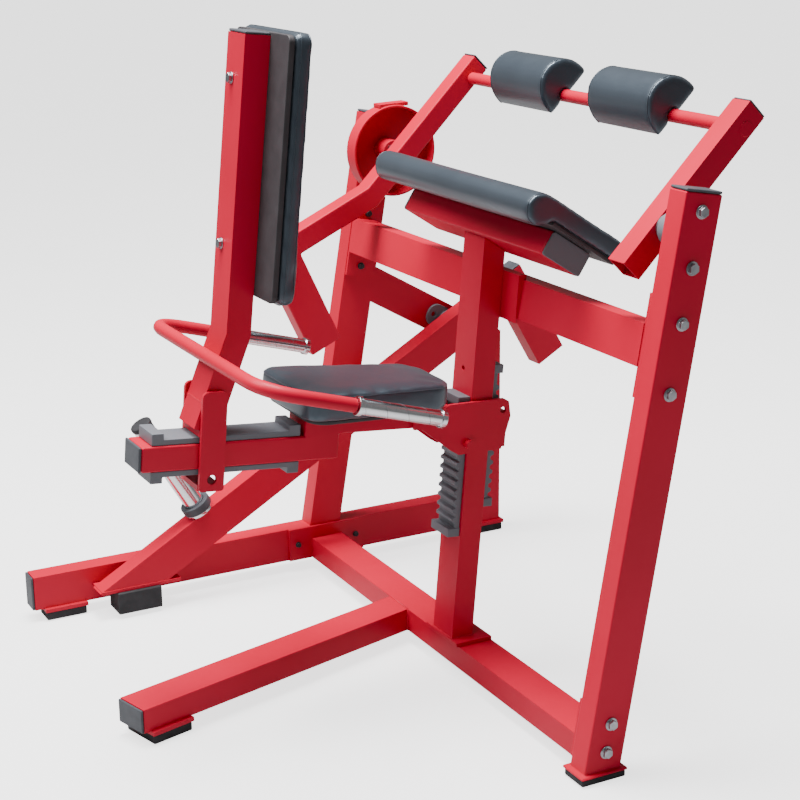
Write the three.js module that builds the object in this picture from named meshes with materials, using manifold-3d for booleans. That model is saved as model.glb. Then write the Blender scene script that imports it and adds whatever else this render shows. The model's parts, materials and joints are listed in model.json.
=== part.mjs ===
// Plate-loaded seated arm extension machine. Millimetres, +Z up, user faces +Y.
import * as THREE from "three";
import { mergeVertices } from "three/addons/utils/BufferGeometryUtils.js";
import Module from "manifold-3d";

const wasm = await Module();
wasm.setup();

// Driving dimensions
const WIDE = 80; // broad face of the frame tubes
const DEEP = 50; // narrow face of the frame tubes
const GAP = 0.3; // clearance between neighbouring pieces
const RIGHT_X = 515; // inner face of the right upright
const LEFT_X = -668; // inner face of the left side frame
const UPRIGHT_LEAN = 9.7; // degrees, tops lean forward
const COLUMN_LEAN = 5.1; // degrees, also the slope of the seat beam
const PIVOT = [210, 1021]; // lever pivot, Y and Z
const ARM_ANGLE = 45.4; // lever arms above horizontal at rest
const ARM_REACH = 276; // pivot to the end of the lever arms
const WEIGHT_PIVOT = [398, 577]; // weight arm pivot, Y and Z
const WEIGHT_ANGLE = 30.1; // slope of the weight arm at rest
const DRUM_RADIUS = 105;
const DRUM_CENTRE = [222, 1019]; // the drum is a little off its pivot, as a cam
const HORN_LENGTH = 268;
const PAD_ANGLE = -33; // slope of the elbow pad
const ROLL = [52, 1040, 32]; // rear roll of the elbow pad: Y, Z, radius
const PAD_HALF = 310; // half length of the elbow pad
const SEAT_REAR = [-344, 631]; // underside of the seat at its rear edge, Y and Z

function finish(name, color, roughness, metalness = 0) {
  return new THREE.MeshStandardMaterial({ name, color, roughness, metalness });
}

const paint = {
  red: finish("red_paint", 0xc81e2b, 0.4),
  grey: finish("grey_plastic", 0x5a5f64, 0.6),
  dark: finish("dark_metal", 0x3c4043, 0.5, 0.3),
  rubber: finish("rubber", 0x2b2d2f, 0.85),
  pad: finish("upholstery", 0x2f3336, 0.6),
  board: finish("pad_board", 0x17181a, 0.7),
  chrome: finish("chrome", 0xc8ccd0, 0.2, 1),
  zinc: finish("zinc", 0x9fa4a8, 0.35, 0.9),
};

const rad = (d) => (d * Math.PI) / 180;

// A Y-Z frame: origin, direction a, and normal b turned 90 degrees anticlockwise seen from +X.
function axes(origin, degrees) {
  const a = [Math.cos(rad(degrees)), Math.sin(rad(degrees))];
  const b = [-a[1], a[0]];
  return (u, v) => [origin[0] + u * a[0] + v * b[0], origin[1] + u * a[1] + v * b[1]];
}

function solid(geometry) {
  let g = geometry.clone();
  for (const name of Object.keys(g.attributes)) if (name !== "position") g.deleteAttribute(name);
  g = mergeVertices(g, 1e-4);
  return new wasm.Manifold(
    new wasm.Mesh({
      numProp: 3,
      vertProperties: new Float32Array(g.attributes.position.array),
      triVerts: new Uint32Array(g.index.array),
    }),
  );
}

// Extrudes a Y-Z outline along X.
function alongX(points, x0, x1) {
  const shape = new THREE.Shape(points.map((p) => new THREE.Vector2(p[0], p[1])));
  const g = new THREE.ExtrudeGeometry(shape, { depth: x1 - x0, bevelEnabled: false });
  g.applyMatrix4(new THREE.Matrix4().set(0, 0, 1, x0, 1, 0, 0, 0, 0, 1, 0, 0, 0, 0, 0, 1));
  return solid(g);
}

// Extrudes an X-Y outline along Z.
function alongZ(points, z0, z1) {
  const shape = new THREE.Shape(points.map((p) => new THREE.Vector2(p[0], p[1])));
  const g = new THREE.ExtrudeGeometry(shape, { depth: z1 - z0, bevelEnabled: false });
  g.translate(0, 0, z0);
  return solid(g);
}

const box = (x0, x1, y0, y1, z0, z1) => alongZ([[x0, y0], [x1, y0], [x1, y1], [x0, y1]], z0, z1);

// A rectangle in a Y-Z frame.
const rect = (f, u0, u1, v0, v1) => [f(u0, v0), f(u1, v0), f(u1, v1), f(u0, v1)];

function rod(p, q, radius, sides = 32) {
  const a = new THREE.Vector3(...p);
  const b = new THREE.Vector3(...q);
  const g = new THREE.CylinderGeometry(radius, radius, a.distanceTo(b), sides);
  const way = b.clone().sub(a).normalize();
  const turn = new THREE.Quaternion().setFromUnitVectors(new THREE.Vector3(0, 1, 0), way);
  g.applyQuaternion(turn);
  const mid = a.add(b).multiplyScalar(0.5);
  g.translate(mid.x, mid.y, mid.z);
  return solid(g);
}

const pin = (yz, x0, x1, radius, sides = 32) => rod([x0, ...yz], [x1, ...yz], radius, sides);

// Rounds the corners of an outline.
function rounded(points, radii, steps = 6) {
  const out = [];
  points.forEach((p, i) => {
    const r = Array.isArray(radii) ? radii[i] : radii;
    if (!r) return out.push(p);
    const a = points[(i + points.length - 1) % points.length];
    const c = points[(i + 1) % points.length];
    const toA = new THREE.Vector2(a[0] - p[0], a[1] - p[1]).normalize();
    const toC = new THREE.Vector2(c[0] - p[0], c[1] - p[1]).normalize();
    const half = Math.acos(THREE.MathUtils.clamp(toA.dot(toC), -1, 1)) / 2;
    const reach = r / Math.tan(half);
    const mid = toA.clone().add(toC).normalize().multiplyScalar(r / Math.sin(half));
    const centre = new THREE.Vector2(p[0], p[1]).add(mid);
    const start = new THREE.Vector2(p[0], p[1]).addScaledVector(toA, reach).sub(centre);
    const end = new THREE.Vector2(p[0], p[1]).addScaledVector(toC, reach).sub(centre);
    const from = start.angle();
    let turn = end.angle() - from;
    if (turn > Math.PI) turn -= 2 * Math.PI;
    if (turn < -Math.PI) turn += 2 * Math.PI;
    for (let k = 0; k <= steps; k++) {
      const angle = from + (turn * k) / steps;
      out.push([centre.x + r * Math.cos(angle), centre.y + r * Math.sin(angle)]);
    }
  });
  return out;
}

// Sweeps a circle along a bent path, corners rounded.
function bentTube(points, bend, radius, sides = 16, steps = 8) {
  const path = new THREE.CurvePath();
  const pts = points.map((p) => new THREE.Vector3(...p));
  let last = pts[0];
  for (let i = 1; i < pts.length - 1; i++) {
    const before = pts[i].clone().add(pts[i - 1].clone().sub(pts[i]).setLength(bend));
    const after = pts[i].clone().add(pts[i + 1].clone().sub(pts[i]).setLength(bend));
    path.add(new THREE.LineCurve3(last, before));
    path.add(new THREE.QuadraticBezierCurve3(before, pts[i], after));
    last = after;
  }
  path.add(new THREE.LineCurve3(last, pts[pts.length - 1]));
  const rings = [];
  path.curves.forEach((curve, i) => {
    const n = curve.isLineCurve3 ? 1 : steps;
    for (let k = i ? 1 : 0; k <= n; k++) rings.push([curve.getPoint(k / n), curve.getTangent(k / n)]);
  });
  const up = new THREE.Vector3(0, 0, 1);
  const verts = [];
  for (const [p, t] of rings) {
    const side = new THREE.Vector3().crossVectors(up, t).normalize();
    const rise = new THREE.Vector3().crossVectors(t, side).normalize();
    for (let k = 0; k < sides; k++) {
      const angle = (2 * Math.PI * k) / sides;
      const v = p.clone().addScaledVector(side, radius * Math.cos(angle));
      v.addScaledVector(rise, radius * Math.sin(angle));
      verts.push(v.x, v.y, v.z);
    }
  }
  const tri = [];
  for (let i = 0; i < rings.length - 1; i++)
    for (let k = 0; k < sides; k++) {
      const a = i * sides + k;
      const b = i * sides + ((k + 1) % sides);
      tri.push(a, b, b + sides, a, b + sides, a + sides);
    }
  const end = (rings.length - 1) * sides;
  for (let k = 1; k < sides - 1; k++) tri.push(0, k + 1, k, end, end + k, end + k + 1);
  return new wasm.Manifold(
    new wasm.Mesh({ numProp: 3, vertProperties: new Float32Array(verts), triVerts: new Uint32Array(tri) }),
  );
}

const object = new THREE.Group();
object.name = "arm_extension_machine";

function add(name, body, material) {
  const m = body.getMesh();
  const g = new THREE.BufferGeometry();
  g.setAttribute("position", new THREE.BufferAttribute(new Float32Array(m.vertProperties), 3));
  g.setIndex(new THREE.BufferAttribute(new Uint32Array(m.triVerts), 1));
  g.computeVertexNormals();
  const mesh = new THREE.Mesh(g, paint[material]);
  mesh.name = name;
  object.add(mesh);
}

const join = (...bodies) => bodies.reduce((a, b) => a.add(b));

// Uprights. Frame u runs up the leaning tube, v is negative toward the front.
const uprightFoot = [0, 19];
const upright = axes(uprightFoot, 90 - UPRIGHT_LEAN);
const UPRIGHT_LENGTH = 1097.7;
const leanSlope = Math.tan(rad(UPRIGHT_LEAN));
const rearFace = (z) => (z - uprightFoot[1]) * leanSlope;
const frontFace = (z) => rearFace(z) + WIDE / Math.cos(rad(UPRIGHT_LEAN));

function uprightOutline(bottom) {
  return [
    [rearFace(bottom), bottom],
    [frontFace(bottom), bottom],
    upright(UPRIGHT_LENGTH, -WIDE),
    upright(UPRIGHT_LENGTH, 0),
  ];
}

const uprightCap = rect(upright, UPRIGHT_LENGTH + GAP, UPRIGHT_LENGTH + 6, -WIDE + 0.5, -0.5);

function buildRightSide() {
  const plate = box(RIGHT_X - 9, RIGHT_X + DEEP + 9, -11, 92, 14.3, 20);
  add("right_upright", alongX(uprightOutline(19), RIGHT_X, RIGHT_X + DEEP).add(plate), "red");
  add("right_upright_cap", alongX(uprightCap, RIGHT_X + 0.5, RIGHT_X + DEEP - 0.5), "grey");
  add("right_foot", box(RIGHT_X - 6, RIGHT_X + DEEP + 6, -8, 89, 0, 14), "rubber");
  const along = [1062, 963, 864, 737, 114, 58].map((z) => (z - 12.5) / Math.cos(rad(UPRIGHT_LEAN)));
  along.forEach((u, i) => {
    const at = upright(u, -WIDE / 2);
    const bolt = join(
      pin(at, RIGHT_X + DEEP + GAP, RIGHT_X + DEEP + 2.5, 13, 20),
      pin(at, RIGHT_X + DEEP + 2, RIGHT_X + DEEP + 10, 10, 6),
    );
    add(`upright_bolt_${i + 1}`, bolt, "zinc");
  });
}

// Left side frame: floor rail, leaning upright, front post and sloping strut, welded together.
const RAIL_X = LEFT_X - DEEP;
const RAIL_REAR = -678;
const RAIL_FRONT = 554;
const strut = axes([205, 734], -30);

function buildLeftSide() {
  const rail = box(RAIL_X, LEFT_X, RAIL_REAR, RAIL_FRONT, 28, 108);
  const post = alongX([[474, 107], [554, 107], [554, 470], [474, 516]], RAIL_X, LEFT_X);
  const slope = Math.tan(rad(30));
  const high = (y) => 734 - slope * (y - 205);
  const strutOutline = [
    [187, high(187) - 92],
    [RAIL_FRONT, high(RAIL_FRONT) - 92],
    [RAIL_FRONT, high(RAIL_FRONT)],
    [201, high(201)],
  ];
  const body = join(
    rail,
    alongX(uprightOutline(107), RAIL_X, LEFT_X),
    post,
    alongX(strutOutline, RAIL_X, LEFT_X),
    box(RAIL_X - 5, LEFT_X + 9, -656, -556, 20.3, 29),
    box(RAIL_X - 5, LEFT_X + 9, 462, 562, 20.3, 29),
  );
  add("left_side_frame", body, "red");
  add("left_upright_cap", alongX(uprightCap, RAIL_X + 0.5, LEFT_X - 0.5), "grey");
  add("rail_rear_cap", box(RAIL_X + 0.5, LEFT_X - 0.5, RAIL_REAR - 6, RAIL_REAR - GAP, 28.5, 107.5), "grey");
  add("rail_rear_foot", box(RAIL_X - 2, LEFT_X + 6, -653, -559, 0, 20), "rubber");
  add("rail_front_foot", box(RAIL_X - 2, LEFT_X + 6, 465, 559, 0, 20), "rubber");
}

// Base: cross tube with bolted end plates and the angled right leg.
function buildBase() {
  const tube = box(-661, 509.3, 16, 96, 28, 78);
  const leftPlate = box(LEFT_X + GAP, -660.3, -44, 156, 28, 108);
  const rightPlate = alongX(rect(upright, 19, 134, -78, -2), 508.7, RIGHT_X - GAP);
  const heading = rad(105.35);
  const d = [Math.cos(heading), Math.sin(heading)];
  const n = [d[1], -d[0]];
  const at = (u, v) => [-15 + u * d[0] + v * n[0], -676 + u * d[1] + v * n[1]];
  const legTube = alongZ([at(0, -40), at(0, 40), at(706, 40), at(742, -40)], 28, 78);
  const legPlate = alongZ([at(14, -50), at(14, 50), at(112, 50), at(112, -50)], 20.3, 29);
  add("base_frame", join(tube, leftPlate, rightPlate, legTube, legPlate), "red");
  add("leg_cap", alongZ([at(-6, -39.5), at(-6, 39.5), at(-GAP, 39.5), at(-GAP, -39.5)], 28.5, 77.5), "grey");
  add("leg_foot", alongZ([at(17, -47), at(17, 47), at(109, 47), at(109, -47)], 0, 20), "rubber");
}

// Column with its base plate and toothed racks. Frame u forward, v up the column.
const column = axes([14.2, 100], -COLUMN_LEAN);
const columnRear = (z) => 14.2 + Math.tan(rad(COLUMN_LEAN)) * (z - 100);
const columnFront = (z) => columnRear(z) + DEEP / Math.cos(rad(COLUMN_LEAN));

// Upper crossbeam between the uprights, with end plates and the plate the column is bolted to.
function buildCrossbeam() {
  const beam = alongX(rect(upright, 772, 852, -DEEP, 0), -662, 509);
  const ends = [[LEFT_X + GAP, -661], [508.3, RIGHT_X - GAP]].map(([a, b]) =>
    alongX(rect(upright, 716, 908, -78, -2), a, b),
  );
  const low = 772;
  const high = 868;
  const wedge = alongX(
    [
      [columnFront(low) + GAP, low],
      [rearFace(low) + 6, low],
      [rearFace(high) + 6, high],
      [columnFront(high) + GAP, high],
    ],
    -100,
    100,
  );
  const above = alongX(rect(upright, 851, 861.5, -6, -0.1), -100, 100);
  add("upper_crossbeam", join(beam, ...ends, wedge, above), "red");
}

// Toothed bar on a column face: u0 against the face, u1 the valleys, tip the teeth, lug the end blocks.
function rack(u0, u1, tip, lug, low, high) {
  const outline = [[u0, low], [u1, low]];
  for (let v = low + 24; v < high - 36; v += 20) {
    outline.push([u1, v], [tip, v + 4], [tip, v + 10], [u1, v + 14]);
  }
  outline.push([u1, high], [u0, high]);
  const back = alongX(outline.map(([u, v]) => column(u, v)), -34, 34);
  const block = (v) => alongX(rect(column, Math.min(u0, lug), Math.max(u0, lug), v, v + 18), -36, 36);
  return join(back, block(low - 4), block(high - 14));
}

function buildColumn() {
  const top = pad(0, -64.6);
  const slope = Math.tan(rad(PAD_ANGLE));
  // Height where a column face meets the underside of the pad tube.
  const meet = (face) => {
    let z = 920;
    for (let i = 0; i < 30; i++) z = top[1] + slope * (face(z) - top[0]) - GAP;
    return [face(z), z];
  };
  const outline = [[columnRear(86), 86], [columnFront(86), 86], meet(columnFront), meet(columnRear)];
  const tube = alongX(outline, -WIDE / 2, WIDE / 2);
  const hole = rod([-3, 30, 663], [-3, 90, 663], 5, 20);
  add("column", tube.subtract(hole).add(box(-66, 66, 10, 95, 78.3, 87)), "red");
  add("rear_rack", rack(-GAP, -12, -19, -28, 218, 510), "dark");
  add("front_rack", rack(DEEP + GAP, DEEP + 12, DEEP + 19, DEEP + 23, 278, 574), "dark");
}

// Elbow pad: a sloping slab with a roll along its rear edge, on a wide tube.
const pad = axes([ROLL[0], ROLL[1]], PAD_ANGLE);

function buildArmPad() {
  const r = ROLL[2];
  const tube = alongX(rounded(rect(pad, 67, 167, -64.3, -14.3), 5, 3), -272, 272);
  add("arm_pad_tube", tube, "red");
  [-1, 1].forEach((side) => {
    const x = [side * 272.3, side * 277].sort((a, b) => a - b);
    const name = side > 0 ? "arm_pad_tube_cap_right" : "arm_pad_tube_cap_left";
    add(name, alongX(rounded(rect(pad, 67.5, 166.5, -63.8, -14.8), 5, 3), x[0], x[1]), "dark");
  });
  const outline = [];
  const foot = Math.asin(6 / r);
  for (let i = 0; i <= 20; i++) {
    const angle = Math.PI / 2 + ((1.5 * Math.PI - foot) * i) / 20;
    outline.push(pad(r * Math.cos(angle), r * Math.sin(angle)));
  }
  outline.push(pad(204, -6));
  for (let i = 0; i <= 5; i++) {
    const angle = (Math.PI / 2) * (i / 5);
    outline.push(pad(194 + 10 * Math.cos(angle), 22 + 10 * Math.sin(angle)));
  }
  add("arm_pad", alongX(outline, -PAD_HALF, PAD_HALF), "pad");
  add("arm_pad_board", alongX(rect(pad, 36, 202, -14, -6.3), -308, 308), "board");
}

function ring(yz, x0, x1, outer, inner) {
  return pin(yz, x0, x1, outer, 56).subtract(pin(yz, x0 - 5, x1 + 5, inner, 32));
}

function flange(yz, x0, x1, half, degrees) {
  const f = axes(yz, degrees);
  const plate = alongX(rounded(rect(f, -half, half, -28, 28), 24, 5), x0, x1);
  return plate;
}

function buildBearings() {
  const right = ring(PIVOT, 490, RIGHT_X - GAP, 32, 17);
  add("lever_bearing_right", right, "dark");
  const left = ring(PIVOT, LEFT_X + GAP, -645, 38, 17);
  add("lever_bearing_left", left, "dark");
  const body = join(
    flange(WEIGHT_PIVOT, LEFT_X + GAP, -660, 62, 150),
    pin(WEIGHT_PIVOT, LEFT_X + GAP, -651.5, 28, 32),
  ).subtract(pin(WEIGHT_PIVOT, LEFT_X - 5, -640, 15.5));
  const f = axes(WEIGHT_PIVOT, 150);
  const boltHoles = join(pin(f(46, 0), -680, -640, 6, 16), pin(f(-46, 0), -680, -640, 6, 16));
  add("weight_arm_bearing", body.subtract(boltHoles), "dark");
}

// Lever: two arms on a common pivot, a press bar with two foam pads, and a cam drum.
const arm = axes(PIVOT, ARM_ANGLE);
const NEAR_X = [425, 475];
const FAR_X = [-565, -515];

function pressPad(x0, x1) {
  // Half-round section whose flat side sits half way across the bar.
  const outline = [arm(187, -9), arm(306, -9)];
  for (let i = 0; i <= 14; i++) {
    const angle = (Math.PI * i) / 14;
    outline.push(arm(246.5 + 59.5 * Math.cos(angle), 3 + 66 * Math.sin(angle)));
  }
  return alongX(outline, x0, x1).subtract(pin(arm(236, -7), x0 - 5, x1 + 5, 13.8, 24));
}

function armCap([x0, x1]) {
  return alongX(rect(arm, ARM_REACH + GAP, ARM_REACH + 4, -23.5, 23.5), x0 + 0.5, x1 - 0.5);
}

function buildLever() {
  const barAt = arm(236, -7);
  const near = alongX(rect(arm, -104, ARM_REACH, -24, 24), ...NEAR_X);
  const hollow = alongX(rect(arm, -110, -44, -20.5, 20.5), NEAR_X[0] + 3.5, NEAR_X[1] - 3.5);
  add("lever_arm_right", near.subtract(hollow).add(pin(barAt, 470, 476.5, 14)), "red");
  add("lever_arm_right_cap", armCap(NEAR_X), "grey");
  const rear = axes([-55, 877], 205);
  const backTop = rear(108.5, 0);
  const backLow = rear(108.5, DEEP);
  const tip = [arm(ARM_REACH, -24), arm(ARM_REACH, 24)];
  const far = alongX([[110.3, 954.1], backTop, backLow, [134.4, 910.2], ...tip], ...FAR_X);
  const down = alongX(rect(rear, 28, 108.5, 49, 276), ...FAR_X);
  add("lever_arm_left", far.add(down), "red");
  add("lever_arm_left_cap", armCap(FAR_X), "grey");
  add("press_bar", pin(barAt, FAR_X[1] + GAP, NEAR_X[0] - GAP, 13.5, 28), "red");
  add("press_pad_left", pressPad(-335, -120), "pad");
  add("press_pad_right", pressPad(46, 260), "pad");
  const collar = pin(PIVOT, NEAR_X[1] + GAP, 488, 24);
  add("lever_shaft_right", pin(PIVOT, NEAR_X[1] + GAP, 513, 16.5).add(collar), "zinc");
  add("lever_shaft_left", pin(PIVOT, -666, FAR_X[0] - GAP, 16.5), "zinc");
  const drum = join(
    ring(DRUM_CENTRE, -637, -595, DRUM_RADIUS, DRUM_RADIUS - 5),
    pin(DRUM_CENTRE, -637, -630, DRUM_RADIUS - 3, 48),
    pin(PIVOT, -640, -580, 26),
    alongX(rect(axes(DRUM_CENTRE, 92), DRUM_RADIUS - 4, DRUM_RADIUS + 5, -42, 32), -634, -600),
  ).subtract(pin(PIVOT, -650, -580, 16.9));
  add("cam_drum", drum, "red");
}

// Weight arm with its front tube, foot plate, bumper and loading horn.
const weight = axes([421, 626], WEIGHT_ANGLE);

function buildWeightArm() {
  const x = [-650, -600];
  const drop = Math.tan(rad(WEIGHT_ANGLE));
  const upper = (z) => 421 + (z - 626) / drop;
  const shift = WIDE / Math.sin(rad(WEIGHT_ANGLE));
  const body = join(
    alongX([[upper(66), 66], [upper(66) + shift, 66], weight(92, -WIDE), weight(92, 0)], ...x),
    alongX(rect(weight, 90, 170, -256, 0), ...x),
    box(-664, -598, -541, -350, 62.3, 70),
    pin(WEIGHT_PIVOT, -666, -640, 15),
    pin(WEIGHT_PIVOT, -650.9, -640, 24),
  );
  add("weight_arm", body, "red");
  add("weight_arm_cap", alongX(rect(weight, 90.5, 169.5, GAP, 5), x[0] + 0.5, x[1] - 0.5), "grey");
  add("weight_arm_bumper", box(-657, -590, -505, -400, 10, 62), "rubber");
  const horn = -817;
  const at = (v) => [-625, ...weight(horn, v)];
  const hub = rod(at(GAP), at(8), 34, 32).add(rod(at(7), at(HORN_LENGTH - 12), 24, 32));
  add("loading_horn", hub, "chrome");
  const collar = rod(at(8.3), at(28), 36, 32).subtract(rod(at(0), at(40), 24.3, 32));
  add("horn_collar", collar, "grey");
  add("horn_end_cap", rod(at(HORN_LENGTH - 11.7), at(HORN_LENGTH), 25.5, 32), "rubber");
}

// Seat carriage: beam with slide rails, tube to the column, side plates and the seat.
const beam = axes([-650, 567], -COLUMN_LEAN);
const seat = axes(SEAT_REAR, -COLUMN_LEAN);
const BEAM_LENGTH = 408;

function slideRail(v0, v1, lug) {
  const flat = alongX(rect(beam, 20, 325, Math.min(v0, v1), Math.max(v0, v1)), -36, 36);
  const ends = [[20, 44], [301, 325]].map(([a, b]) => {
    return alongX(rect(beam, a, b, Math.min(v0, lug), Math.max(v0, lug)), -36, 36);
  });
  return join(flat, ...ends);
}

// Seat outline, X against distance from the rear edge: wide at the rear, narrower at the front.
function seatOutline(grow) {
  const rear = 131 + grow;
  const front = 95 + grow;
  const length = 335 + grow;
  const corners = [[-rear, -grow], [rear, -grow], [front, length], [-front, length]];
  return rounded(corners, [34, 34, 56, 56], 8);
}

function seatSlab(grow, v0, v1) {
  // Outline in X and distance along the seat, extruded up and then sloped.
  const slab = alongZ(seatOutline(grow), v0, v1);
  return slab.rotate([-COLUMN_LEAN, 0, 0]).translate([0, SEAT_REAR[0], SEAT_REAR[1]]);
}

function buildSeat() {
  const main = alongX(rect(beam, 0, BEAM_LENGTH, 0, DEEP), -WIDE / 2, WIDE / 2);
  const upper = alongX(rect(seat, 34, 362, -41, -GAP), -WIDE / 2, WIDE / 2);
  add("seat_frame", main.add(upper), "red");
  const cap = rect(beam, -6, -GAP, 0.5, DEEP - 0.5);
  add("seat_beam_cap", alongX(cap, -WIDE / 2 + 0.5, WIDE / 2 - 0.5), "grey");
  add("slide_rail_top", slideRail(DEEP + GAP, DEEP + 12, DEEP + 24), "dark");
  add("slide_rail_bottom", slideRail(-GAP, -12, -24), "dark");
  const lower = [[-78, 565.5], [-61, 564], [10, 506], [24, 497], [124, 494], [147, 562]];
  const outline = [...lower, [143, 594], [132, 601], [5, 606], [-8, 600.5], [-78, 606.7]];
  [-1, 1].forEach((side) => {
    const x = [side * 42.3, side * 50].sort((a, b) => a - b);
    const hole = pin([129, 577], x[0] - 5, x[1] + 5, 7, 20);
    const plate = alongX(outline, x[0], x[1]).subtract(hole);
    const weld = alongX(rect(seat, 272, 350, -38, -8), side > 0 ? 40.3 : -43, side > 0 ? 43 : -40.3);
    if (side < 0) return add("seat_side_plate_left", plate.add(weld), "red");
    const crossBar = alongX(rect(column, 75, 87, 405, 480), -42, 43);
    add("seat_side_plate_right", join(plate, weld, crossBar, pin([45, 518], 49, 62, 9, 24)), "red");
  });
  add("seat_board", seatSlab(-14, 0, 8), "board");
  add("seat_cushion", seatSlab(0, 8.3, 62), "pad");
}

// Back carriage: plates on the slide rails, bent post, back pad and hand grips.
const post = axes([-469, 813], 90 - 6.05);
const postFoot = axes([-469, 813], 270 - 22.5);
const POST_LENGTH = 550;
const PAD_TOP = 563;
const PAD_BOTTOM = 65;

function buildBack() {
  const low = postFoot(190, 0);
  const lowFront = postFoot(190, DEEP);
  const inner = [-469 + 50 * 0.9757, 813 - 50 * 0.235];
  const top = [post(POST_LENGTH, -DEEP), post(POST_LENGTH, 0)];
  const bent = alongX([[-469, 813], low, lowFront, inner, ...top], -WIDE / 2, WIDE / 2);
  const plates = [-1, 1].map((side) => {
    const x = [side * 42, side * 50].sort((a, b) => a - b);
    const plate = alongX(rounded(rect(beam, 113, 163, -43, 152), [6, 6, 12, 12], 3), x[0], x[1]);
    return plate.subtract(pin(beam(138, -20), x[0] - 5, x[1] + 5, 9.5, 20));
  });
  const bridge = alongX(rect(beam, 112, 158, 63.5, 76), -43, 43);
  const under = alongX(rect(beam, 112, 158, -42, -31), -43, 43);
  const weld = alongX(rect(beam, 116, 150, 84, 130), -43, 43);
  add("back_post", join(bent, ...plates, bridge, under, weld), "red");
  const cap = rect(post, POST_LENGTH + GAP, POST_LENGTH + 6, -DEEP + 0.5, -0.5);
  add("back_post_cap", alongX(cap, -WIDE / 2 + 0.5, WIDE / 2 - 0.5), "grey");
  const origin = post(0, -DEEP);
  const face = (x, r, v0, v1, u0, u1) => {
    const g = alongZ(rounded([[-x, u0], [x, u0], [x, u1], [-x, u1]], r, 6), v0, v1);
    const m = new THREE.Matrix4();
    const up = [Math.sin(rad(6.05)), Math.cos(rad(6.05))];
    m.set(-1, 0, 0, 0, 0, up[0], up[1], 0, 0, up[1], -up[0], 0, 0, 0, 0, 1);
    return g.transform(m.elements).translate([0, origin[0], origin[1]]);
  };
  add("back_board", face(122, 14, GAP, 12, PAD_BOTTOM + 6, PAD_TOP - 6), "board");
  add("back_cushion", face(128, 20, 12.3, 47, PAD_BOTTOM, PAD_TOP), "pad");
  buildHandles();
}

function buildHandles() {
  const reach = 344;
  const drop = 98 / reach;
  const rear = [-502.6, 768.8];
  const gripStart = -328;
  const gripEnd = -150;
  const at = (side, y) => [side * (292 + (7 * (y - rear[0])) / reach), y, rear[1] - (y - rear[0]) * drop];
  const path = [at(-1, gripStart), [-292, ...rear], [292, ...rear], at(1, gripStart)];
  add("grab_handle", bentTube(path, 85, 13.5), "red");
  [-1, 1].forEach((side) => {
    const tip = at(side, gripEnd);
    const start = at(side, gripStart + 0.4);
    const body = join(
      rod(start, tip, 15, 28),
      rod(start, at(side, gripStart + 9), 18, 28),
      rod(at(side, gripEnd - 9), tip, 18, 28),
    );
    add(side > 0 ? "hand_grip_right" : "hand_grip_left", body, "chrome");
  });
}

buildRightSide();
buildLeftSide();
buildBase();
buildCrossbeam();
buildColumn();
buildArmPad();
buildBearings();
buildLever();
buildWeightArm();
buildSeat();
buildBack();

// Put the bottom centre of the whole object at the origin.
const bounds = new THREE.Box3().setFromObject(object);
const centre = bounds.getCenter(new THREE.Vector3());
for (const mesh of object.children) mesh.geometry.translate(-centre.x, -centre.y, -bounds.min.z);

export default object;
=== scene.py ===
import json
import math
import bmesh
import bpy
from mathutils import Matrix, Vector


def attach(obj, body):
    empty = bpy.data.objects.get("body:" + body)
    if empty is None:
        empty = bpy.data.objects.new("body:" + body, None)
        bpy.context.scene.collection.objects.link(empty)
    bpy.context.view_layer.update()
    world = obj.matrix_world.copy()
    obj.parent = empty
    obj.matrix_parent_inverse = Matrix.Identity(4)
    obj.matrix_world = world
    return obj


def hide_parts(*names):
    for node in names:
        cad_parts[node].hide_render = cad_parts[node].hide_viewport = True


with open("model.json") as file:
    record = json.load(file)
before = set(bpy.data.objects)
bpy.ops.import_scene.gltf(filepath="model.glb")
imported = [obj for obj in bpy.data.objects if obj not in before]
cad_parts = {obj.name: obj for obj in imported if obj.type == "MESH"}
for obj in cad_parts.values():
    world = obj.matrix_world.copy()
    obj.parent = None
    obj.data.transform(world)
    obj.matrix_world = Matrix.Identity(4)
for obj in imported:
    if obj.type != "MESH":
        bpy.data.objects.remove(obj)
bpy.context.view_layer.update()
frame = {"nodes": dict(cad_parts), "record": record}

BODY = {}
for body_name, nodes in frame["record"]["behaviour"]["bodies"].items():
    for node_name in nodes:
        BODY[node_name] = body_name


# ---------------------------------------------------------------- materials
def new_material(name):
    mat = bpy.data.materials.new(name)
    mat.use_nodes = True
    return mat, mat.node_tree, mat.node_tree.nodes["Principled BSDF"]


def node(tree, kind, **values):
    made = tree.nodes.new(kind)
    for key, value in values.items():
        if key in made.inputs:
            made.inputs[key].default_value = value
        else:
            setattr(made, key, value)
    return made


def noise(tree, coord, scale, detail=3.0, roughness=0.5):
    made = node(tree, "ShaderNodeTexNoise", Scale=scale, Detail=detail, Roughness=roughness)
    tree.links.new(coord, made.inputs["Vector"])
    return made.outputs["Fac"]


def ramp(tree, fac, stops):
    made = tree.nodes.new("ShaderNodeValToRGB")
    els = made.color_ramp.elements
    while len(els) < len(stops):
        els.new(0.5)
    for el, (pos, col) in zip(els, stops):
        el.position = pos
        el.color = (*col, 1.0)
    tree.links.new(fac, made.inputs["Fac"])
    return made.outputs["Color"]


def spread(tree, fac, low, high):
    made = tree.nodes.new("ShaderNodeMapRange")
    made.inputs["To Min"].default_value = low
    made.inputs["To Max"].default_value = high
    tree.links.new(fac, made.inputs["Value"])
    return made.outputs["Result"]


def bump(tree, shader, height, strength, distance=0.001):
    made = node(tree, "ShaderNodeBump", Strength=strength, Distance=distance)
    tree.links.new(height, made.inputs["Height"])
    tree.links.new(made.outputs["Normal"], shader.inputs["Normal"])


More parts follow.
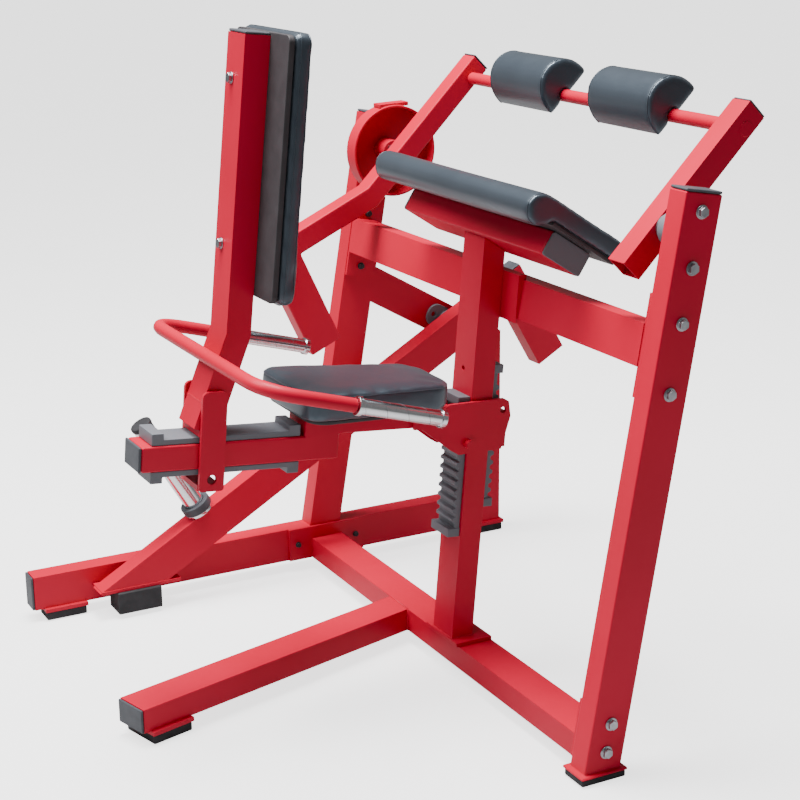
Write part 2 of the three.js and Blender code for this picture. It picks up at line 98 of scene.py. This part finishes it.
def paint(name, dark, light, rough, peel, coat):
    """Powder coat: slow colour drift, fine orange peel and a soft clear gloss."""
    mat, tree, shader = new_material(name)
    coord = tree.nodes.new("ShaderNodeTexCoord").outputs["Object"]
    slow = noise(tree, coord, 3.5, 2.0)
    colour = ramp(tree, slow, [(0.3, dark), (0.7, light)])
    tree.links.new(colour, shader.inputs["Base Color"])
    grain = noise(tree, coord, 60.0, 4.0)
    tree.links.new(spread(tree, grain, *rough), shader.inputs["Roughness"])
    bump(tree, shader, noise(tree, coord, 420.0, 2.0), peel, 0.0004)
    shader.inputs["Coat Weight"].default_value = coat
    shader.inputs["Coat Roughness"].default_value = 0.22
    shader.inputs["Specular IOR Level"].default_value = 0.18
    return mat


def leather(name, dark, light):
    """Upholstery vinyl: pebble grain, slow shade changes."""
    mat, tree, shader = new_material(name)
    coord = tree.nodes.new("ShaderNodeTexCoord").outputs["Object"]
    colour = ramp(tree, noise(tree, coord, 6.0, 3.0), [(0.35, dark), (0.7, light)])
    tree.links.new(colour, shader.inputs["Base Color"])
    cells = node(tree, "ShaderNodeTexVoronoi", Scale=520.0, feature="SMOOTH_F1")
    tree.links.new(coord, cells.inputs["Vector"])
    tree.links.new(spread(tree, noise(tree, coord, 40.0, 3.0), 0.32, 0.4), shader.inputs["Roughness"])
    bump(tree, shader, cells.outputs["Distance"], 0.22, 0.0006)
    shader.inputs["Sheen Weight"].default_value = 0.08
    shader.inputs["Specular IOR Level"].default_value = 1.0
    shader.inputs["Specular Tint"].default_value = (0.72, 0.86, 1.0, 1.0)
    return mat


def plain(name, dark, light, rough, metallic=0.0, scale=30.0, strength=0.1):
    """Moulded or plated surface with a faint grain."""
    mat, tree, shader = new_material(name)
    coord = tree.nodes.new("ShaderNodeTexCoord").outputs["Object"]
    colour = ramp(tree, noise(tree, coord, scale, 4.0), [(0.3, dark), (0.7, light)])
    tree.links.new(colour, shader.inputs["Base Color"])
    tree.links.new(spread(tree, noise(tree, coord, scale * 3, 3.0), *rough), shader.inputs["Roughness"])
    bump(tree, shader, noise(tree, coord, 300.0, 3.0), strength, 0.0005)
    shader.inputs["Metallic"].default_value = metallic
    shader.inputs["Specular IOR Level"].default_value = 0.25
    return mat


def brushed(name, dark, light, rough):
    """Metal with fine lines along X."""
    mat, tree, shader = new_material(name)
    coord = tree.nodes.new("ShaderNodeTexCoord").outputs["Object"]
    mapping = tree.nodes.new("ShaderNodeMapping")
    mapping.inputs["Scale"].default_value = (8.0, 400.0, 400.0)
    tree.links.new(coord, mapping.inputs["Vector"])
    lines = node(tree, "ShaderNodeTexNoise", Scale=1.0, Detail=2.0)
    tree.links.new(mapping.outputs["Vector"], lines.inputs["Vector"])
    colour = ramp(tree, lines.outputs["Fac"], [(0.3, dark), (0.7, light)])
    tree.links.new(colour, shader.inputs["Base Color"])
    tree.links.new(spread(tree, lines.outputs["Fac"], *rough), shader.inputs["Roughness"])
    bump(tree, shader, lines.outputs["Fac"], 0.05, 0.0003)
    shader.inputs["Metallic"].default_value = 1.0
    return mat


def make_looks():
    """One material per slot: darkest and lightest shade, then the range of roughness."""
    red = (0.49, 0.001, 0.024), (0.56, 0.002, 0.032), (0.4, 0.5)
    grey = (0.05, 0.053, 0.062), (0.07, 0.074, 0.085), (0.45, 0.6)
    dark = (0.12, 0.127, 0.143), (0.155, 0.163, 0.185), (0.4, 0.55)
    rubber = (0.02, 0.02, 0.022), (0.036, 0.036, 0.04), (0.6, 0.8)
    board = (0.036, 0.033, 0.036), (0.05, 0.046, 0.05), (0.45, 0.6)
    zinc = (0.3, 0.31, 0.33), (0.46, 0.47, 0.5), (0.3, 0.42)
    return {
        "red_paint": paint("red_paint", *red, peel=0.12, coat=0.03),
        "grey_plastic": plain("grey_plastic", *grey),
        "dark_metal": paint("dark_metal", *dark, peel=0.2, coat=0.1),
        "rubber": plain("rubber", *rubber, strength=0.3),
        "upholstery": leather("upholstery", (0.013, 0.019, 0.027), (0.021, 0.029, 0.039)),
        "pad_board": plain("pad_board", *board),
        "chrome": brushed("chrome", (0.62, 0.63, 0.65), (0.78, 0.79, 0.81), (0.12, 0.22)),
        "zinc": plain("zinc", *zinc, metallic=1.0, scale=80.0),
    }


LOOK = make_looks()
SLOT = {s["node"]: s["material_slot"] for s in frame["record"]["subparts"]}


def dress(obj, slot_name):
    obj.data.materials.clear()
    obj.data.materials.append(LOOK[slot_name])


# ---------------------------------------------------------------- CAD nodes, edges softened
def own_copy(name):
    """A new object with a welded copy of a CAD node's mesh."""
    mesh = frame["nodes"][name].data.copy()
    bm = bmesh.new()
    bm.from_mesh(mesh)
    bmesh.ops.remove_doubles(bm, verts=bm.verts, dist=2e-5)
    bmesh.ops.dissolve_limit(bm, angle_limit=math.radians(0.6), verts=bm.verts, edges=bm.edges)
    clean = bpy.data.meshes.new(name + "_look")
    bm.to_mesh(clean)
    bm.free()
    bpy.data.meshes.remove(mesh)
    obj = bpy.data.objects.new(name + "_look", clean)
    bpy.context.scene.collection.objects.link(obj)
    return obj


def shade_smooth(obj, sharp_angle):
    for face in obj.data.polygons:
        face.use_smooth = True
    obj.data.set_sharp_from_angle(angle=sharp_angle)


def soften(obj, width):
    """Bevel the hard edges, then shade flat faces evenly."""
    corner = math.radians(32.0)
    bevel = obj.modifiers.new("soft edges", "BEVEL")
    bevel.width = width
    bevel.segments = 2
    bevel.limit_method = "ANGLE"
    bevel.angle_limit = corner
    shade_smooth(obj, corner)
    apply_all(obj)
    shade_smooth(obj, math.radians(40.0))
    weighted = obj.modifiers.new("even shading", "WEIGHTED_NORMAL")
    weighted.keep_sharp = True
    apply_all(obj)


def apply_all(obj):
    """Bake an object's modifiers into its mesh."""
    graph = bpy.context.evaluated_depsgraph_get()
    done = bpy.data.meshes.new_from_object(obj.evaluated_get(graph), depsgraph=graph)
    old = obj.data
    obj.modifiers.clear()
    obj.data = done
    bpy.data.meshes.remove(old)


# Edge rounding of each slot, in metres.
EDGE = {
    "red_paint": 0.004,
    "grey_plastic": 0.0025,
    "dark_metal": 0.0018,
    "rubber": 0.003,
    "pad_board": 0.002,
    "chrome": 0.0012,
    "zinc": 0.0012,
}


def show(name):
    """Stand a softened and dressed copy in for a CAD node."""
    obj = own_copy(name)
    soften(obj, EDGE[SLOT[name]])
    dress(obj, SLOT[name])
    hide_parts(name)
    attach(obj, BODY[name])


# ---------------------------------------------------------------- pads
def remesh(obj, voxel):
    mod = obj.modifiers.new("voxels", "REMESH")
    mod.mode = "VOXEL"
    mod.voxel_size = voxel
    apply_all(obj)


def relax(obj, factor, repeat):
    mod = obj.modifiers.new("relax", "SMOOTH")
    mod.factor = factor
    mod.iterations = repeat
    apply_all(obj)


def inflate(obj, held, pressure, frames=20):
    """Cloth under inner pressure, with the vertices that held() picks kept in place."""
    group = obj.vertex_groups.new(name="held")
    group.add([v.index for v in obj.data.vertices if held(v.co)], 1.0, "REPLACE")
    cloth = obj.modifiers.new("stuffing", "CLOTH")
    s = cloth.settings
    s.quality = 6
    s.mass = 0.3
    s.tension_stiffness = 40
    s.compression_stiffness = 40
    s.shear_stiffness = 20
    s.bending_stiffness = 25
    s.use_pressure = True
    s.uniform_pressure_force = pressure
    s.vertex_group_mass = "held"
    s.effector_weights.gravity = 0
    cloth.point_cache.frame_start = 1
    cloth.point_cache.frame_end = frames
    for f in range(1, frames + 1):
        bpy.context.scene.frame_set(f)
    apply_all(obj)
    bpy.context.scene.frame_set(1)


def cap_moves(obj, start, limit):
    """Hold every vertex within limit of where it started."""
    for v, was in zip(obj.data.vertices, start):
        step = v.co - was
        if step.length > limit:
            v.co = was + step * (limit / step.length)


def cushion(name, out, held_depth, voxel, pressure, limit, fill, melt, after):
    """A padded piece grown from a CAD node.

    out is the way its face points, held_depth the part next to the board that keeps still,
    pressure and limit say how far it swells, melt and after count the smoothing passes.
    """
    obj = own_copy(name)
    remesh(obj, voxel)
    relax(obj, 0.5, melt)
    start = [v.co.copy() for v in obj.data.vertices]
    low = min(v.co.dot(out) for v in obj.data.vertices)
    inflate(obj, lambda co: co.dot(out) < low + held_depth, pressure)
    cap_moves(obj, start, limit)
    relax(obj, 0.5, after)
    finer = obj.modifiers.new("finer", "SUBSURF")
    finer.levels = finer.render_levels = 1
    apply_all(obj)
    for face in obj.data.polygons:
        face.use_smooth = True
    dress(obj, "upholstery")
    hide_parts(name)
    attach(obj, BODY[name])
    return obj


def tilted(degrees):
    """The upward direction, tipped towards -Y."""
    angle = math.radians(degrees)
    return Vector((0, -math.sin(angle), math.cos(angle)))


X_AXIS = Vector((1, 0, 0))
POST_UP = tilted(-6.05)
BACK_OUT = X_AXIS.cross(POST_UP) * -1
SEAT_UP = tilted(-5.1)
ELBOW_UP = tilted(-33.0)
PRESS_OUT = tilted(45.4)

# out, held_depth, voxel, pressure, limit, fill, melt, after
PADS = {
    "seat_cushion": (SEAT_UP, 0.006, 0.005, 1.6, 0.005, 0.8, 4, 20),
    "back_cushion": (BACK_OUT, 0.006, 0.006, 3.0, 0.006, 0.8, 4, 12),
    "arm_pad": (ELBOW_UP, 0.03, 0.006, 1.0, 0.002, 0.9, 2, 10),
    "press_pad_left": (PRESS_OUT, 0.012, 0.005, 1.0, 0.002, 0.9, 2, 6),
    "press_pad_right": (PRESS_OUT, 0.012, 0.005, 1.0, 0.002, 0.9, 2, 6),
}
for cad_name in sorted(frame["nodes"]):
    if cad_name not in PADS:
        show(cad_name)
pads = {name: cushion(name, *shape) for name, shape in PADS.items()}


# ---------------------------------------------------------------- seams, bolts, beads, grip wraps
# The column's foot, where the pieces below are measured from.
COLUMN_FOOT = Vector((0.074, -0.00211, 0.0))


def at(x, y, z):
    """A point of the shared frame, from millimetres measured from the column's foot."""
    return Vector((x, y, z)) / 1000 + COLUMN_FOOT


def settle(obj, slot_name, body):
    """Give an extra piece its material, its slot and the body it rides on."""
    dress(obj, slot_name)
    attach(obj, body)


def wire(name, loops, radius, slot_name, body, closed):
    """A round wire of the given radius along one or more lines of points."""
    data = bpy.data.curves.new(name, "CURVE")
    data.dimensions = "3D"
    data.bevel_depth = radius
    data.bevel_resolution = 2
    for loop in loops:
        line = data.splines.new("POLY")
        line.points.add(len(loop) - 1)
        for p, co in zip(line.points, loop):
            p.co = (*co, 1.0)
        line.use_cyclic_u = closed
    obj = bpy.data.objects.new(name, data)
    bpy.context.scene.collection.objects.link(obj)
    settle(obj, slot_name, body)


def cut_loops(obj, point, normal):
    """Where a plane cuts the mesh, as ordered closed loops."""
    bm = bmesh.new()
    bm.from_mesh(obj.data)
    everything = bm.verts[:] + bm.edges[:] + bm.faces[:]
    cut = bmesh.ops.bisect_plane(bm, geom=everything, plane_co=point, plane_no=normal, dist=1e-6)
    edges = [e for e in cut["geom_cut"] if isinstance(e, bmesh.types.BMEdge)]
    near = {}
    for e in edges:
        a, b = e.verts
        near.setdefault(a, []).append(b)
        near.setdefault(b, []).append(a)
    loops, seen = [], set()
    for start in sorted(near, key=lambda v: v.index):
        if start in seen:
            continue
        loop, here, last = [], start, None
        while here not in seen:
            seen.add(here)
            loop.append(here.co.copy())
            ahead = [v for v in near[here] if v is not last and v not in seen]
            if not ahead:
                break
            last, here = here, ahead[0]
        if len(loop) > 20:
            loops.append(loop)
    bm.free()
    return loops


def loop_length(loop):
    return sum((a - b).length for a, b in zip(loop, loop[1:]))


def seam(pad_name, name, normal, depth):
    """A welt around a pad, depth below its furthest point along normal."""
    obj = pads[pad_name]
    top = max(v.co.dot(normal) for v in obj.data.vertices)
    longest = max(cut_loops(obj, normal * (top - depth), normal), key=loop_length)
    wire(f"{obj.name}_{name}", [longest], 0.0011, "upholstery", BODY[pad_name], True)


def bolt(name, spot, out, size, slot_name, body):
    """Washer and hexagon head of the given radius, standing on a face."""
    washer = size * 1.18, 28, 0.0003, 0.0022
    head = size, 6, 0.0022, 0.0085
    bm = bmesh.new()
    for radius, sides, low, high in (washer, head):
        made = bmesh.ops.create_cone(
            bm, cap_ends=True, segments=sides, radius1=radius, radius2=radius, depth=high - low
        )
        bmesh.ops.translate(bm, verts=made["verts"], vec=(0, 0, (low + high) / 2))
    mesh = bpy.data.meshes.new(name)
    bm.to_mesh(mesh)
    bm.free()
    obj = bpy.data.objects.new(name, mesh)
    bpy.context.scene.collection.objects.link(obj)
    soften(obj, 0.0007)
    turn = out.to_track_quat("Z", "Y").to_matrix().to_4x4()
    obj.data.transform(Matrix.Translation(spot) @ turn)
    settle(obj, slot_name, body)


def grip_wrap(name, start, end, radius):
    """Fine spiral line around a hand grip."""
    pitch = 0.045
    points_per_turn = 28
    axis = (end - start).normalized()
    side = axis.cross(Vector((0, 0, 1))).normalized()
    rise = axis.cross(side)
    length = (end - start).length
    turns = length / pitch
    steps = int(turns * points_per_turn)
    line = []
    for i in range(steps + 1):
        a = 2 * math.pi * turns * i / steps
        around = side * math.cos(a) + rise * math.sin(a)
        line.append(start + axis * (length * i / steps) + around * radius)
    wire(name, [line], 0.00035, "grey_plastic", "back_carriage", False)


def grip_point(side, y):
    """A point of a hand grip's axis: side is -1 on the left and 1 on the right."""
    along = (y + 502.6) / 344
    return at(side * (292 + 7 * along), y, 768.8 - 98 * along)


def bead(name, points, body, closed=False):
    """Weld bead along points in millimetres from the column's foot."""
    wire(name, [[at(*p) for p in points]], 0.0022, "red_paint", body, closed)


def pad_seams():
    seam("seat_cushion", "welt", SEAT_UP, 0.012)
    seam("back_cushion", "welt_front", BACK_OUT, 0.011)
    seam("back_cushion", "welt_rear", BACK_OUT, 0.03)
    for pad_name in ("arm_pad", "press_pad_left", "press_pad_right"):
        seam(pad_name, "welt_right", X_AXIS, 0.007)
        seam(pad_name, "welt_left", -X_AXIS, 0.007)


def bolts():
    post_foot = at(-12, -469, 813)
    for bolt_name, height in (("back_bolt_upper", 0.468), ("back_bolt_lower", 0.162)):
        spot = post_foot + POST_UP * height
        bolt(bolt_name, spot, -BACK_OUT, 0.0095, "zinc", "back_carriage")
    # Hexagon heads in the near-black rubber slot: their dark colour is painted shade standing in for
    # the shadowed bolt holes of the end plates.
    for i, y in enumerate((-22, 134)):
        bolt(f"end_plate_bolt_{i}", at(-660.3, y, 68), X_AXIS, 0.006, "rubber", "frame")
    # The same on the crossbeam's left end: the near-black heads are painted shade standing in for its
    # shadowed bolt holes.
    for i, (y, z) in enumerate(((183, 866), (161, 742))):
        bolt(f"crossbeam_bolt_left_{i}", at(-661, y, z), X_AXIS, 0.007, "rubber", "frame")


def grip_wraps():
    for side_name, side in (("left", -1), ("right", 1)):
        ends = grip_point(side, -316), grip_point(side, -162)
        grip_wrap("grip_wrap_" + side_name, *ends, 0.01505)


def weld_beads():
    foot = [(-40, 13, 87), (40, 13, 87), (40, 63.6, 87), (-40, 63.6, 87)]
    bead("weld_column_foot", foot, "frame", True)
    bead("weld_leg_left", [(-246, 16, 78), (-246, 16, 28)], "frame")
    bead("weld_leg_right", [(-163.6, 16, 28), (-163.6, 16, 78), (-246, 16, 78)], "frame")


pad_seams()
bolts()
grip_wraps()
weld_beads()


# ---------------------------------------------------------------- stage, light, camera
def area(name, spot, target, size, power):
    """A square soft box that faces target."""
    lamp = bpy.data.lights.new(name, "AREA")
    lamp.shape = "RECTANGLE"
    lamp.size = lamp.size_y = size
    lamp.energy = power
    obj = bpy.data.objects.new(name, lamp)
    obj.location = spot
    obj.rotation_mode = "QUATERNION"
    obj.rotation_quaternion = (Vector(target) - Vector(spot)).to_track_quat("-Z", "Y")
    bpy.context.scene.collection.objects.link(obj)


def lay_floor():
    """A wide plain floor, just under the feet."""
    half, z = 30, -0.0005
    corners = [(-half, -half, z), (half, -half, z), (half, half, z), (-half, half, z)]
    mesh = bpy.data.meshes.new("floor")
    mesh.from_pydata(corners, [], [(0, 1, 2, 3)])
    floor = bpy.data.objects.new("floor", mesh)
    bpy.context.scene.collection.objects.link(floor)
    mat, tree, shader = new_material("floor_white")
    coord = tree.nodes.new("ShaderNodeTexCoord").outputs["Object"]
    stops = [(0.3, (0.5, 0.5, 0.5)), (0.7, (0.53, 0.53, 0.53))]
    colour = ramp(tree, noise(tree, coord, 1.5, 2.0), stops)
    tree.links.new(colour, shader.inputs["Base Color"])
    shader.inputs["Roughness"].default_value = 0.9
    # The floor glows for the camera only, so it adds no light to the machine.
    seen = node(tree, "ShaderNodeMath", operation="MULTIPLY")
    path = tree.nodes.new("ShaderNodeLightPath")
    tree.links.new(path.outputs["Is Camera Ray"], seen.inputs[0])
    seen.inputs[1].default_value = 2.2
    tree.links.new(seen.outputs[0], shader.inputs["Emission Strength"])
    shader.inputs["Emission Color"].default_value = (1.0, 1.0, 1.0, 1.0)
    floor.data.materials.append(mat)


def light_studio():
    world = bpy.data.worlds.new("studio")
    bpy.context.scene.world = world
    world.use_nodes = True
    sky = world.node_tree.nodes["Background"]
    sky.inputs["Color"].default_value = (1.0, 1.0, 1.0, 1.0)
    sky.inputs["Strength"].default_value = 0.22
    area("key", (-0.9, -2.7, 4.4), (0, 0, 0.7), 2.6, 300)
    area("top", (-0.3, -0.3, 4.5), (0, 0, 0.6), 1.6, 430)


def stand_camera():
    """The camera stands to the machine's right and behind the user, a little above it."""
    spot = Vector((3.075, -1.66011, 1.628))
    right = Vector((0.4669, 0.8844, -0.0090))
    down = Vector((0.2487, -0.1411, -0.9583))
    ahead = Vector((-0.8486, 0.4450, -0.2859))
    data = bpy.data.cameras.new("camera")
    data.lens = 78.93
    data.sensor_width = 36.0
    data.clip_end = 100.0
    obj = bpy.data.objects.new("camera", data)
    turn = Matrix((right, -down, -ahead)).transposed().to_4x4()
    obj.matrix_world = Matrix.Translation(spot) @ turn
    bpy.context.scene.collection.objects.link(obj)
    bpy.context.scene.camera = obj


lay_floor()
light_studio()
stand_camera()
